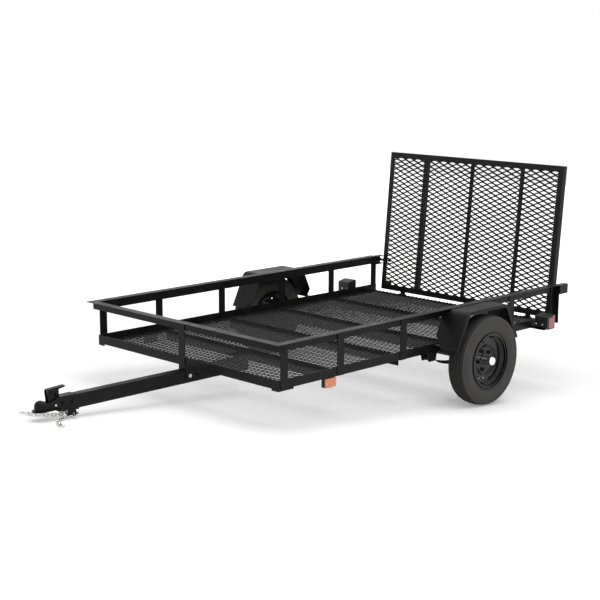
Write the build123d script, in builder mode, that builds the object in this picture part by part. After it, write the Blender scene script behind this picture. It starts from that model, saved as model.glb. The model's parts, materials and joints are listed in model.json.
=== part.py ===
from math import asin, atan2, cos, degrees, hypot, radians, sin, sqrt
import os

from build123d import *

os.makedirs("parts", exist_ok=True)

# The trailer is drawn level: X forward, Y left, Z up, origin on the ground below the axle.
# All lengths are in millimetres. Each finished piece is then carried to the parked attitude.

# Steel sections
wall = 3.2
frame_leg = 50.8
rail_leg = 50.8
rail_flange = 50.8
corner_leg = 38.1
gate_leg = 38.1
gate_bar_leg = 32
post_width = 50.8
post_thickness = 4.8
plate_thickness = 5
sheet_thickness = 2

# Clearances and cuts
running_fit = 0.3
running_gap = 5
overrun = 10

# Bed: rails, posts and crossmembers, with places as shares of its length from the rear
bed_length = 2450
bed_width = 1524
rear_overhang = 926
frame_clearance = 63
side_height = 250
front_post_inset = 39
middle_post_shares = [0.811, 0.601, 0.382, 0.188]
crossmember_shares = [0.806, 0.593, 0.402, 0.192]
corner_drop = 10
corner_reach = 112

# Expanded mesh, drawn with a wide lattice
mesh_thickness = 3
mesh_margin = 1
mesh_long_pitch = 152
mesh_short_pitch = 68
mesh_open_share = 0.4

# Wheels
rim_seat_radius = 152.4
tyre_section = 115.6
tyre_width = 125
wheel_gap = 88
rim_lip_height = 10.6
rim_well_depth = 18.4
rim_half_width = 57
rim_lip_depth = 9
rim_gauge = 3.5
rim_well_half = 20
disc_offset = 8
disc_face_margin = 8.35
disc_shoulder = 20
disc_crown_rise = 12
disc_gauge = 4
disc_bore_radius = 36
vent_share = 0.17
vent_count = 8
first_vent_angle = 120
shoulder_share = 0.82
shoulder_drop = 9
stud_radius = 6.35
stud_circle_radius = 57.15
stud_count = 5
first_stud_angle = 67
nut_radius = 10.5
nut_height = 16
hub_inner = 58
hub_nose = 4
hub_radius = 35.5
hub_flange_radius = 70
hub_flange_thickness = 9
cap_radius = 27
cap_length = 63
spindle_radius = 14
spindle_fit = 0.4

# Axle and springs
axle_radius = 22.2
spring_eye_reach = 285
spring_eye_drop = 39
spring_eye_radius = 14
spring_bolt_radius = 6.4
spring_width = 44.5
spring_inset = 27
leaf_thickness = 7
leaf_shares = [1, 0.62]
clamp_plate_half = 52
spring_seat = 8
hanger_length = 90
hanger_thickness = 5
clamp_rod_radius = 4.8

# Tongue and coupler
tongue_width = 50.8
tongue_height = 76.2
tongue_wall = 3.2
tongue_drop = 24
tongue_reach = 836
tongue_corner = 4
bracket_drop = 58
bracket_skirt = 17
bolt_radius = 6.35
bolt_hole_radius = 6.75
bolt_head_radius = 10.5
bolt_head_height = 8
ball_reach = 104
ball_rise = 7
socket_radius = 25.9
coupler_gauge = 4
coupler_lap = 98
coupler_skirt = 54
coupler_slope = 50
coupler_round = 6
coupler_bolt_insets = [21, 81]
coupler_bolt_drop = 34
neck_rise = 14
rim_flange_radius = 42
latch_setback = 37
latch_length = 110
latch_rise = 73
latch_half_width = 14
latch_gauge = 3
lock_hole_radius = 4.5
latch_window_width = 12
latch_window_height = 20

# Chain plate and safety chains
chain_plate_setback = 79
chain_plate_half_width = 50
chain_plate_drop = 45
chain_plate_corner = 20
chain_hole_offset = 32
chain_hole_radius = 8.5
chain_hole_rise = 20
chain_wire = 5.6
chain_pitch = 24
chain_inner_width = 8.2
chain_links = 9
chain_turn = 8
link_gap = 1.35
link_play = 0.8
floor_gap = 0.3
ring_inner_length = 36
ring_inner_width = 15.6
ring_droop = 23.8
ring_lead = 4
hook_radius = 13
hook_droop = 3

# Ramp gate
gate_height = 972
gate_inset = 39
gate_lean = 5.2
gate_lift = 26
gate_setback = 23
hinge_setback = 34
hinge_drop = 9
hinge_pin_radius = 6
knuckle_radius = 9.5
knuckle_length = 40
hinge_ear = 5
hinge_share = 0.742
gate_bar_shares = [-0.563, 0, 0.563]
latch_drop = 30
latch_pin_radius = 8
latch_barrel_radius = 14
latch_pin_inset = 51
keeper_length = 84
keeper_width = 36
keeper_height = 60
reflector_length = 60
reflector_height = 56
reflector_depth = 8

# Fenders, lamps and markers
fender_width = 176
fender_lift = 30
fender_foot_margin = 24
fender_rake = 102
fender_bend = 42
fender_lip = 18
fender_cut_width = 60
fender_cut_height = 68
brace_length = 24
brace_rise = 10
brace_share = 0.72
lamp_width = 95
lamp_height = 89
lamp_front_height = 78
lamp_depth = 56
lamp_chamfer = 12
lens_depth = 24
lens_skin = 6
lens_wrap_share = 0.68
lamp_inset = 33
lamp_lift = 6
lamp_setback = 752
marker_length = 80
marker_height = 49
marker_depth = 20
marker_lens_depth = 8
marker_inset = 345

# Worked out
bed_half_width = bed_width / 2
bed_rear = -rear_overhang
bed_front = bed_rear + bed_length
tyre_radius = rim_seat_radius + tyre_section
rim_lip_radius = rim_seat_radius + rim_lip_height
rim_well_radius = rim_seat_radius - rim_well_depth
wheel_middle = bed_half_width + wheel_gap + tyre_width / 2
frame_bottom = tyre_radius + frame_clearance
rail_top = frame_bottom + side_height
floor_level = frame_bottom + wall
rail_inner = bed_half_width - wall
flange_tip = rail_inner + rail_flange
post_top = rail_top - wall
post_outer = bed_half_width + post_thickness
tongue_top = frame_bottom - tongue_drop
tongue_bottom = tongue_top - tongue_height
tongue_front = bed_front + tongue_reach
chain_plate_x = tongue_front - chain_plate_setback
chain_plate_bottom = tongue_bottom - chain_plate_drop
ball_x = tongue_front + ball_reach
ball_z = tongue_top - tongue_height / 2 + ball_rise
hinge_x = bed_rear - hinge_setback
hinge_z = frame_bottom - hinge_drop
crossmember_places = [bed_rear + share * bed_length for share in crossmember_shares]

# Parked attitude: the trailer pitches about the axle until the chain plate stands on the floor
reach = hypot(chain_plate_x, chain_plate_bottom - tyre_radius)
rise = atan2(chain_plate_bottom - tyre_radius, chain_plate_x)
pitch = degrees(rise + asin(tyre_radius / reach))
axle_centre = Location((0, 0, tyre_radius))
parked = axle_centre * Location((0, 0, 0), (0, pitch, 0)) * axle_centre.inverse()
hinge_line = Location((hinge_x, 0, hinge_z))
leaned = hinge_line * Location((0, 0, 0), (0, -gate_lean, 0)) * hinge_line.inverse()
on_gate = parked * leaned
sides = {"left": 1, "right": -1}


def slab(x_low, x_high, y_one, y_two, z_low, z_high, mode=Mode.ADD):
    """A block between two corners, in the part that is being built."""
    centre = ((x_low + x_high) / 2, (y_one + y_two) / 2, (z_low + z_high) / 2)
    with Locations(centre):
        Box(abs(x_high - x_low), abs(y_two - y_one), abs(z_high - z_low), mode=mode)


def rod(x, y, z, radius, length, turn=(90, 0, 0), mode=Mode.ADD):
    """A round bar centred on a point, lying along Y unless turned."""
    with Locations(Location((x, y, z), turn)):
        Cylinder(radius, length, mode=mode)


def expanded_sheet(left, right, low, high, long_pitch, short_pitch):
    """A flat face between two corners with staggered diamond holes, for a sheet of mesh."""
    border = Wire.make_polygon([(left, low), (right, low), (right, high), (left, high)])
    reach_long = long_pitch * mesh_open_share
    reach_short = short_pitch * mesh_open_share
    holes = []
    for row in range(2 * int((high - low) / short_pitch)):
        across = low + (row + 1) * short_pitch / 2
        for column in range(int((right - left) / long_pitch)):
            along = left + (column + (row % 2 + 1) / 2) * long_pitch
            if along + reach_long < right and across + reach_short < high:
                corners = [(along - reach_long, across), (along, across - reach_short),
                           (along + reach_long, across), (along, across + reach_short)]
                holes.append(Wire.make_polygon(corners))
    return Face(border, holes)


finished = []


def keep(piece, label, place=parked):
    """Label a finished piece and carry it to where the parked trailer has it."""
    stored = piece.part.moved(place)
    stored.label = label
    finished.append(stored)


# Lower frame: angle iron, one leg upright outside, the other inward at the bottom
for name, side in sides.items():
    with BuildPart() as lower_rail:
        outer = side * bed_half_width
        slab(bed_rear, bed_front, outer, side * rail_inner, frame_bottom, frame_bottom + frame_leg)
        slab(bed_rear, bed_front, outer, outer - side * frame_leg, frame_bottom, floor_level)
    keep(lower_rail, f"lower_rail_{name}")

frame_across = bed_half_width - frame_leg
with BuildPart() as lower_rail_front:
    slab(bed_front - wall, bed_front, -rail_inner, rail_inner, floor_level, frame_bottom + frame_leg)
    slab(bed_front - frame_leg, bed_front, -frame_across, frame_across, frame_bottom, floor_level)
keep(lower_rail_front, "lower_rail_front")

with BuildPart() as lower_rail_rear:
    slab(bed_rear, bed_rear + frame_leg, -frame_across, frame_across, frame_bottom, floor_level)
    slab(bed_rear, bed_rear + wall, -frame_across, frame_across, floor_level - frame_leg, floor_level)
keep(lower_rail_rear, "lower_rail_rear")

with BuildPart() as crossmembers:
    for place in crossmember_places:
        slab(place - wall, place, -frame_across, frame_across, floor_level - frame_leg, floor_level)
        slab(place - frame_leg, place, -frame_across, frame_across, frame_bottom, floor_level)
keep(crossmembers, "crossmembers")

# Clips under the front corners
with BuildPart() as corner_clips:
    clip_bottom = frame_bottom - corner_drop
    clip_rear = bed_front - post_thickness
    for side in sides.values():
        outer = side * bed_half_width
        slab(clip_rear, bed_front, outer, side * frame_across, clip_bottom, frame_bottom)
        slab(bed_front - corner_reach, clip_rear, outer, outer - side * post_thickness,
             clip_bottom, frame_bottom)
keep(corner_clips, "corner_clips")

with BuildPart() as floor_mesh:
    mesh_side = rail_inner - mesh_margin
    mesh_front = bed_front - wall - mesh_margin
    sheet = expanded_sheet(bed_rear, mesh_front, -mesh_side, mesh_side, mesh_long_pitch, mesh_short_pitch)
    extrude(sheet.moved(Location((0, 0, floor_level))), amount=mesh_thickness)
keep(floor_mesh, "floor_mesh")

# Top rail: angle iron with its flange outward at the top
for name, side in sides.items():
    with BuildPart() as top_rail:
        outer = side * bed_half_width
        rail_front = bed_front - wall
        slab(bed_rear, rail_front, outer, side * rail_inner, rail_top - rail_leg, rail_top)
        slab(bed_rear, rail_front, outer, side * flange_tip, post_top, rail_top)
    keep(top_rail, f"top_rail_{name}")

with BuildPart() as top_rail_front:
    slab(bed_front - wall, bed_front, -flange_tip, flange_tip, rail_top - rail_leg, rail_top)
    slab(bed_front, bed_front - wall + rail_flange, -flange_tip, flange_tip, post_top, rail_top)
keep(top_rail_front, "top_rail_front")

# Posts stand outside both rails, under the top flange, with angle iron at the rear corners
post_places = [bed_front - front_post_inset, bed_rear + post_width / 2]
post_places += [bed_rear + share * bed_length for share in middle_post_shares]
for name, side in sides.items():
    with BuildPart() as posts:
        for place in post_places:
            back = place - post_width / 2
            ahead = place + post_width / 2
            slab(back, ahead, side * bed_half_width, side * post_outer, frame_bottom, post_top)
        slab(bed_rear, bed_rear + post_thickness, side * post_outer, side * (rail_inner + corner_leg),
             frame_bottom, post_top)
    keep(posts, f"posts_{name}")

with BuildPart() as front_post:
    half = post_width / 2
    slab(bed_front, bed_front + post_thickness, -half, half, frame_bottom, post_top)
keep(front_post, "front_post")

# Tongue: one straight box tube below the frame, bolted in a bracket
tongue_rear = crossmember_places[0]
bolt_z = frame_bottom - bracket_drop
bolt_places = [bed_front - frame_leg / 2, bed_front - frame_leg * 1.6]
channel_top = tongue_top + running_fit + coupler_gauge
channel_bottom = channel_top - coupler_skirt
coupler_rear = tongue_front - coupler_lap
coupler_bolt_z = tongue_top - coupler_bolt_drop
coupler_bolt_places = [tongue_front - inset for inset in coupler_bolt_insets]
with BuildPart() as tongue_tube:
    half = tongue_width / 2
    slab(tongue_rear, tongue_front, -half, half, tongue_bottom, tongue_top)
    fillet(tongue_tube.edges().filter_by(Axis.X), tongue_corner)
    inner = half - tongue_wall
    slab(tongue_rear, tongue_front, -inner, inner, tongue_bottom + tongue_wall,
         tongue_top - tongue_wall, mode=Mode.SUBTRACT)
    for x in bolt_places:
        rod(x, 0, bolt_z, bolt_hole_radius, 2 * tongue_width, mode=Mode.SUBTRACT)
    for x in coupler_bolt_places:
        rod(x, 0, coupler_bolt_z, bolt_hole_radius, 2 * tongue_width, mode=Mode.SUBTRACT)
keep(tongue_tube, "tongue_tube")

bracket_half = tongue_width / 2 + plate_thickness
bracket_rear = bed_front - 3 * frame_leg
with BuildPart() as tongue_bracket:
    for side in sides.values():
        slab(bracket_rear, bed_front, side * tongue_width / 2, side * bracket_half,
             bolt_z - bracket_skirt, frame_bottom)
    slab(bracket_rear, bed_front, -tongue_width / 2, tongue_width / 2, tongue_top, frame_bottom)
    for x in bolt_places:
        rod(x, 0, bolt_z, bolt_hole_radius, 2 * tongue_width, mode=Mode.SUBTRACT)
keep(tongue_bracket, "tongue_bracket")

with BuildPart() as tongue_bolts:
    rod(bolt_places[0], 0, bolt_z, bolt_radius, 2 * bracket_half)
    for side in sides.values():
        rod(bolt_places[0], side * (bracket_half + bolt_head_height / 2), bolt_z,
            bolt_head_radius, bolt_head_height)
keep(tongue_bolts, "tongue_bolts")

# Coupler: a pressed channel over the tongue's end that slopes to a neck and a domed ball socket
channel_half = tongue_width / 2 + running_fit + coupler_gauge
dome_radius = socket_radius + coupler_gauge
neck_top = ball_z + neck_rise
neck_rear = tongue_front + coupler_slope
rim_bottom = ball_z - socket_radius
with BuildPart() as coupler_body:
    with BuildSketch(Plane.XZ):
        with BuildLine():
            Polyline(
                (coupler_rear, channel_bottom),
                (coupler_rear, channel_top),
                (tongue_front, channel_top),
                (neck_rear, neck_top),
                (ball_x, neck_top),
                (ball_x, rim_bottom),
                (tongue_front, rim_bottom),
                (tongue_front - coupler_slope, channel_bottom),
                close=True,
            )
        make_face()
    extrude(amount=channel_half, both=True)
    upper = [edge for edge in coupler_body.edges()
             if abs(edge.center().Y) > tongue_width / 2 and edge.center().Z > neck_top - running_fit]
    fillet(upper, coupler_round)
    with Locations((ball_x, 0, ball_z)):
        Sphere(dome_radius)
    rod(ball_x, 0, (ball_z + rim_bottom) / 2, dome_radius, ball_z - rim_bottom, turn=(0, 0, 0))
    rod(ball_x, 0, rim_bottom + coupler_gauge / 2, rim_flange_radius, coupler_gauge, turn=(0, 0, 0))
    slab(tongue_front, ball_x, -rim_flange_radius, rim_flange_radius, rim_bottom, rim_bottom + coupler_gauge)
    inner = tongue_width / 2 + running_fit
    slab(coupler_rear - overrun, tongue_front + running_fit, -inner, inner,
         rim_bottom - overrun, tongue_top + running_fit, mode=Mode.SUBTRACT)
    slab(tongue_front + coupler_gauge, ball_x - dome_radius, -inner, inner,
         rim_bottom - overrun, neck_top - coupler_gauge, mode=Mode.SUBTRACT)
    with Locations((ball_x, 0, ball_z)):
        Sphere(socket_radius, mode=Mode.SUBTRACT)
    rod(ball_x, 0, ball_z - socket_radius, socket_radius, 2 * socket_radius, turn=(0, 0, 0),
        mode=Mode.SUBTRACT)
    below = rim_bottom - dome_radius
    slab(coupler_rear, ball_x + 2 * dome_radius, -2 * dome_radius, 2 * dome_radius,
         below, rim_bottom, mode=Mode.SUBTRACT)
    for x in coupler_bolt_places:
        rod(x, 0, coupler_bolt_z, bolt_hole_radius, 4 * bracket_half, mode=Mode.SUBTRACT)
keep(coupler_body, "coupler_body")

with BuildPart() as coupler_bolts:
    for x in coupler_bolt_places:
        rod(x, 0, coupler_bolt_z, bolt_radius, 2 * channel_half)
        for side in sides.values():
            rod(x, side * (channel_half + bolt_head_height / 2), coupler_bolt_z,
                bolt_head_radius, bolt_head_height)
keep(coupler_bolts, "coupler_bolts")

# Coupler latch: two cheeks joined by the lever above, standing on the slope of the coupler.
# Its outline and holes are shares (along from the lever's tip, up from the neck) of its size.
latch_front = ball_x - latch_setback
latch_tip = latch_front - latch_length
latch_outline_shares = [(0.363, 0.81), (0, 0.91), (0, 1), (0.965, 0.91), (1, 0.74), (0.935, 0)]
latch_foot_share = 0.347
lock_hole_share = (0.823, 0.685)
window_share = (0.548, 0.466)


def on_latch(share):
    """A point of the latch in X and Z, from its shares along and up."""
    return (latch_tip + share[0] * latch_length, neck_top + share[1] * latch_rise)


lock_hole = on_latch(lock_hole_share)
latch_crown = neck_top + latch_rise
with BuildPart() as coupler_latch:
    with BuildSketch(Plane.XZ.offset(-latch_half_width)):
        with BuildLine():
            Polyline(
                (tongue_front, channel_top),
                (latch_tip + latch_foot_share * latch_length, channel_top),
                *[on_latch(share) for share in latch_outline_shares],
                (neck_rear, neck_top),
                close=True,
            )
        make_face()
        with Locations(lock_hole):
            Circle(lock_hole_radius, mode=Mode.SUBTRACT)
        with Locations(on_latch(window_share)):
            Rectangle(latch_window_width, latch_window_height, mode=Mode.SUBTRACT)
    extrude(amount=2 * latch_half_width)
    inner = latch_half_width - latch_gauge
    slab(latch_tip - overrun, latch_front + overrun, -inner, inner,
         neck_top - overrun, latch_crown - 4 * latch_gauge, mode=Mode.SUBTRACT)
keep(coupler_latch, "coupler_latch")

# Chain plate under the tongue's front end, with a hole for each safety chain
hole_z = chain_plate_bottom + chain_hole_rise
with BuildPart() as chain_plate:
    back = chain_plate_x - plate_thickness
    slab(back, chain_plate_x, -chain_plate_half_width, chain_plate_half_width,
         chain_plate_bottom, tongue_bottom)
    chamfer(chain_plate.edges().filter_by(Axis.X).group_by(Axis.Z)[0], chain_plate_corner)
    slab(chain_plate_x - 8 * plate_thickness, chain_plate_x, -tongue_width / 2, tongue_width / 2,
         tongue_bottom - plate_thickness, tongue_bottom)
    for side in sides.values():
        rod(chain_plate_x, side * chain_hole_offset, hole_z, chain_hole_radius,
            8 * plate_thickness, turn=(0, 90, 0), mode=Mode.SUBTRACT)
keep(chain_plate, "chain_plate")

# Safety chains: a ring through each hole, then links that curl on the floor to a hook
link_end = chain_inner_width / 2 + chain_wire / 2
wire_half = chain_wire / 2


def bite(inner_width):
    """How far square wire stays out of a link's round end."""
    return inner_width / 2 - sqrt((inner_width / 2) ** 2 - wire_half ** 2)


step = (chain_pitch - link_gap) / 2 - bite(chain_inner_width)


def flat_link(inner_length, inner_width, place):
    """A chain link with flat sides, lying in the plane of its place, long along that X."""
    with BuildPart() as link:
        with BuildSketch():
            SlotOverall(inner_length + 2 * chain_wire, inner_width + 2 * chain_wire)
            SlotOverall(inner_length, inner_width, mode=Mode.SUBTRACT)
        extrude(amount=wire_half, both=True)
    return place * link.part


def flat_hook(side, place):
    """A link's eye with an open bow ahead of it, lying in the plane of its place."""
    bow_middle = chain_pitch / 2 + chain_wire + hook_radius
    with BuildPart() as hook:
        with BuildSketch():
            SlotOverall(chain_pitch + 2 * chain_wire, chain_inner_width + 2 * chain_wire)
            with Locations((bow_middle, 0)):
                Circle(hook_radius + wire_half)
                Circle(hook_radius - wire_half, mode=Mode.SUBTRACT)
            with Locations((bow_middle - hook_radius * 0.6, side * hook_radius * 0.9)):
                Rectangle(hook_radius * 0.9, hook_radius, mode=Mode.SUBTRACT)
            SlotOverall(chain_pitch, chain_inner_width, mode=Mode.SUBTRACT)
        extrude(amount=wire_half, both=True)
    return place * hook.part


for name, side in sides.items():
    hole = (parked * Location((chain_plate_x - plate_thickness / 2, side * chain_hole_offset, hole_z))).position
    ring_place = Location((hole.X, hole.Y, hole.Z)) * Location((0, 0, 0), (0, ring_droop, 0))
    ring_shift = side * (ring_inner_width + chain_wire) / 2
    ring_place = ring_place * Location((ring_lead, ring_shift, 0))
    solids = [flat_link(ring_inner_length, ring_inner_width, ring_place)]
    joint_out = ring_inner_length / 2 - bite(ring_inner_width) - link_gap
    joint = (ring_place * Location((joint_out, 0, 0))).position
    x, y = joint.X, joint.Y
    heading = 0
    upright_height = link_end + wire_half + floor_gap
    flat_height = upright_height - link_play
    for count in range(chain_links):
        upright = count % 2 == 0
        height = upright_height if upright else flat_height
        along = (cos(radians(heading)), sin(radians(heading)))
        middle = (x + step * along[0], y + step * along[1], height)
        place = Location(middle, (0, 0, heading)) * Location((0, 0, 0), (90 if upright else 0, 0, 0))
        solids.append(flat_link(chain_pitch, chain_inner_width, place))
        x += 2 * step * along[0]
        y += 2 * step * along[1]
        heading += side * chain_turn
    drooped = Location((x, y, flat_height), (0, 0, heading)) * Location((0, 0, 0), (0, hook_droop, 0))
    solids.append(flat_hook(side, drooped * Location((step, 0, 0))))
    with BuildPart() as chain:
        for solid in solids:
            add(solid)
    keep(chain, f"chain_{name}", Location((0, 0, 0)))

# Axle: a straight tube with welded spring pads and a spindle at each end
spring_offset = bed_half_width - spring_inset
spring_eye_height = frame_bottom - spring_eye_drop
spring_middle = tyre_radius - axle_radius - spring_seat
spring_half = spring_width / 2
beam_half = wheel_middle - hub_inner - running_gap
half_leaf = leaf_thickness / 2
sag = spring_eye_height - spring_middle + half_leaf
arc_radius = (spring_eye_reach ** 2 + sag ** 2) / (2 * sag)
arc_centre_z = spring_middle - half_leaf + arc_radius
pad_foot = arc_centre_z - sqrt((arc_radius - half_leaf) ** 2 - axle_radius ** 2)
with BuildPart() as axle_beam:
    rod(0, 0, tyre_radius, axle_radius, 2 * beam_half)
    rod(0, 0, tyre_radius, spindle_radius, 2 * (wheel_middle + disc_offset))
    for side in sides.values():
        middle = side * spring_offset
        slab(-axle_radius, axle_radius, middle - spring_half, middle + spring_half,
             pad_foot, tyre_radius - axle_radius / 2)
keep(axle_beam, "axle_beam")


def on_arc(radius, angle):
    """A point of the springs' arc, in X and Z."""
    return (radius * sin(angle), arc_centre_z - radius * cos(angle))


with BuildPart() as leaf_springs:
    for side in sides.values():
        with BuildSketch(Plane.XZ.offset(-side * spring_offset)) as leaves:
            for layer, share in enumerate(leaf_shares):
                inner = arc_radius - half_leaf + layer * leaf_thickness
                outer = inner + leaf_thickness
                turn = asin(share * spring_eye_reach / arc_radius)
                with BuildLine():
                    ThreePointArc(on_arc(inner, -turn), on_arc(inner, 0), on_arc(inner, turn))
                    Line(on_arc(inner, turn), on_arc(outer, turn))
                    ThreePointArc(on_arc(outer, turn), on_arc(outer, 0), on_arc(outer, -turn))
                    Line(on_arc(outer, -turn), on_arc(inner, -turn))
                make_face()
        extrude(amount=spring_half, both=True)
        for end in (1, -1):
            rod(end * spring_eye_reach, side * spring_offset, spring_eye_height,
                spring_eye_radius, spring_width)
            rod(end * spring_eye_reach, side * spring_offset, spring_eye_height,
                spring_bolt_radius + running_fit, 2 * spring_width, mode=Mode.SUBTRACT)
keep(leaf_springs, "leaf_springs")

cheek_inner = spring_half + running_fit
cheek_outer = cheek_inner + hanger_thickness
with BuildPart() as spring_hangers:
    for side in sides.values():
        for end in (1, -1):
            middle = end * spring_eye_reach
            foot = hanger_length / 3
            lowest = spring_eye_height - spring_eye_radius
            with BuildSketch(Plane.XZ.offset(-side * spring_offset)):
                with BuildLine():
                    Polyline(
                        (middle - hanger_length / 2, frame_bottom),
                        (middle + hanger_length / 2, frame_bottom),
                        (middle + foot, lowest),
                        (middle - foot, lowest),
                        close=True,
                    )
                make_face()
            extrude(amount=cheek_outer, both=True)
            slab(middle - hanger_length, middle + hanger_length,
                 side * spring_offset - cheek_inner, side * spring_offset + cheek_inner,
                 spring_eye_height - hanger_length, frame_bottom - hanger_thickness, mode=Mode.SUBTRACT)
            rod(middle, side * spring_offset, spring_eye_height, spring_bolt_radius,
                2 * (cheek_outer + bolt_head_height))
keep(spring_hangers, "spring_hangers")

clamp_reach = axle_radius + clamp_rod_radius
clamp_top = spring_middle - len(leaf_shares) * leaf_thickness
with BuildPart() as axle_clamps:
    for side in sides.values():
        middle = side * spring_offset
        edge = spring_half + 3 * clamp_rod_radius
        slab(-clamp_plate_half, clamp_plate_half, middle - edge, middle + edge,
             clamp_top - plate_thickness, clamp_top)
        for lean in (1, -1):
            y = middle + lean * (spring_half + clamp_rod_radius + running_fit)
            with BuildLine(Plane.XZ.offset(-y)) as bow:
                foot = clamp_top - plate_thickness - 2 * clamp_rod_radius
                crown = tyre_radius + clamp_reach
                Line((-clamp_reach, foot), (-clamp_reach, tyre_radius))
                ThreePointArc((-clamp_reach, tyre_radius), (0, crown), (clamp_reach, tyre_radius))
                Line((clamp_reach, tyre_radius), (clamp_reach, foot))
            with BuildSketch(Plane((-clamp_reach, y, foot))):
                Circle(clamp_rod_radius)
            sweep(path=bow.wires()[0])
keep(axle_clamps, "axle_clamps")

# Wheels: profiles give (distance outboard of the tyre's middle, radius), turned about the spindle
lip = rim_half_width
bead = rim_half_width - rim_lip_depth
well = rim_well_half
slope = rim_seat_radius - rim_well_radius
rim_outline = [
    (lip, rim_lip_radius),
    (bead, rim_lip_radius),
    (bead, rim_seat_radius),
    (well + slope, rim_seat_radius),
    (well, rim_well_radius),
    (-well, rim_well_radius),
    (-well - slope, rim_seat_radius),
    (-bead, rim_seat_radius),
    (-bead, rim_lip_radius),
    (-lip, rim_lip_radius),
    (-lip, rim_lip_radius - rim_gauge),
    (-bead - rim_gauge, rim_lip_radius - rim_gauge),
    (-bead - rim_gauge, rim_seat_radius - rim_gauge),
    (rim_gauge / 2 - well - slope, rim_seat_radius - rim_gauge),
    (rim_gauge / 2 - well, rim_well_radius - rim_gauge),
    (well - rim_gauge / 2, rim_well_radius - rim_gauge),
    (well + slope - rim_gauge / 2, rim_seat_radius - rim_gauge),
    (bead + rim_gauge, rim_seat_radius - rim_gauge),
    (bead + rim_gauge, rim_lip_radius - rim_gauge),
    (lip, rim_lip_radius - rim_gauge),
]
crown = disc_offset + disc_crown_rise
face_radius = stud_circle_radius + nut_radius + disc_face_margin
crown_radius = face_radius + disc_shoulder
disc_root = rim_well_radius - rim_gauge / 2
disc_outline = [
    (crown, disc_root),
    (crown, crown_radius),
    (disc_offset, face_radius),
    (disc_offset, disc_bore_radius),
    (disc_offset - disc_gauge, disc_bore_radius),
    (disc_offset - disc_gauge, face_radius + disc_gauge / 2),
    (crown - disc_gauge, crown_radius + disc_gauge / 2),
    (crown - disc_gauge, disc_root),
]
vent_circle_radius = (crown_radius + disc_root) / 2
vent_radius = (disc_root - crown_radius) * vent_share
bead_line = bead - running_fit
seat_line = rim_seat_radius + running_fit
bead_top = rim_lip_radius + 2 * running_fit
tyre_half = tyre_width / 2
shoulder = tyre_half * shoulder_share
shoulder_radius = tyre_radius - shoulder_drop
bulge_radius = (bead_top + shoulder_radius) / 2
spin_axis = Axis((0, 0, tyre_radius), (0, 1, 0))


def around_wheel(radius, count, first_angle):
    """Even places round a wheel in X and Z, from a first angle."""
    angles = [radians(first_angle + turn * 360 / count) for turn in range(count)]
    return [(radius * cos(angle), tyre_radius + radius * sin(angle)) for angle in angles]


stud_places = around_wheel(stud_circle_radius, stud_count, first_stud_angle)
vent_places = around_wheel(vent_circle_radius, vent_count, first_vent_angle)
for name, side in sides.items():
    middle = side * wheel_middle

    def turned(points):
        """Profile points carried to this wheel, as Y and Z."""
        return [(middle + side * out, tyre_radius + radius) for out, radius in points]

    with BuildPart() as wheel:
        with BuildSketch(Plane.YZ):
            for outline in (rim_outline, disc_outline):
                with BuildLine():
                    Polyline(*turned(outline), close=True)
                make_face()
        revolve(axis=spin_axis)
        for x, z in stud_places:
            rod(x, middle, z, stud_radius + running_fit, 2 * tyre_width, mode=Mode.SUBTRACT)
        for x, z in vent_places:
            rod(x, middle, z, vent_radius, 2 * tyre_width, mode=Mode.SUBTRACT)
    keep(wheel, f"wheel_{name}")

    with BuildPart() as tyre:
        with BuildSketch(Plane.YZ):
            with BuildLine():
                Polyline(*turned([(bead_line, bead_top), (bead_line, seat_line),
                                  (-bead_line, seat_line), (-bead_line, bead_top)]))
                ThreePointArc(*turned([(-bead_line, bead_top), (-tyre_half, bulge_radius),
                                       (-shoulder, shoulder_radius)]))
                ThreePointArc(*turned([(-shoulder, shoulder_radius), (0, tyre_radius),
                                       (shoulder, shoulder_radius)]))
                ThreePointArc(*turned([(shoulder, shoulder_radius), (tyre_half, bulge_radius),
                                       (bead_line, bead_top)]))
            make_face()
        revolve(axis=spin_axis)
    keep(tyre, f"tyre_{name}")

    face = disc_offset - disc_gauge
    with BuildPart() as hub:
        rod(0, middle + side * (disc_offset + hub_nose - hub_inner) / 2, tyre_radius, hub_radius,
            disc_offset + hub_nose + hub_inner)
        rod(0, middle + side * (face - hub_flange_thickness / 2), tyre_radius, hub_flange_radius,
            hub_flange_thickness)
        nut_out = disc_offset + nut_height
        for x, z in stud_places:
            rod(x, middle + side * (face + nut_out) / 2, z, stud_radius, nut_out - face)
            with BuildSketch(Plane.XZ.offset(-middle - side * disc_offset)):
                with Locations((x, z)):
                    RegularPolygon(nut_radius, 6)
            extrude(amount=-side * nut_height)
        rod(0, middle, tyre_radius, spindle_radius + spindle_fit, 2 * tyre_width, mode=Mode.SUBTRACT)
    keep(hub, f"hub_{name}")

    with BuildPart() as cap:
        cap_foot = disc_offset + hub_nose
        rod(0, middle + side * (cap_foot + cap_length / 2), tyre_radius, cap_radius, cap_length)
        rounded = cap.faces().sort_by(Axis.Y)[-1 if side > 0 else 0].edges()
        fillet(rounded, cap_radius / 2)
    keep(cap, f"hub_cap_{name}")

# Fenders: bent sheet over each wheel, with a lip along the outer edge and cut inner corners
fender_inner = post_outer + running_fit
fender_outer = fender_inner + fender_width
fender_bottom = frame_bottom + fender_lift
fender_top = post_top - running_fit
fender_foot_half = tyre_radius + fender_foot_margin
fender_top_half = fender_foot_half - fender_rake
fender_slope = fender_rake / (fender_top - fender_bottom)


def fender_outline(inset, foot):
    """The fender's side view, drawn inside the sheet by an inset, down to a foot height."""
    top = fender_top - inset
    half_top = fender_top_half - inset
    half_foot = half_top + (top - foot) * fender_slope
    return [(-half_foot, foot), (-half_top, top), (half_top, top), (half_foot, foot)]


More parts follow.
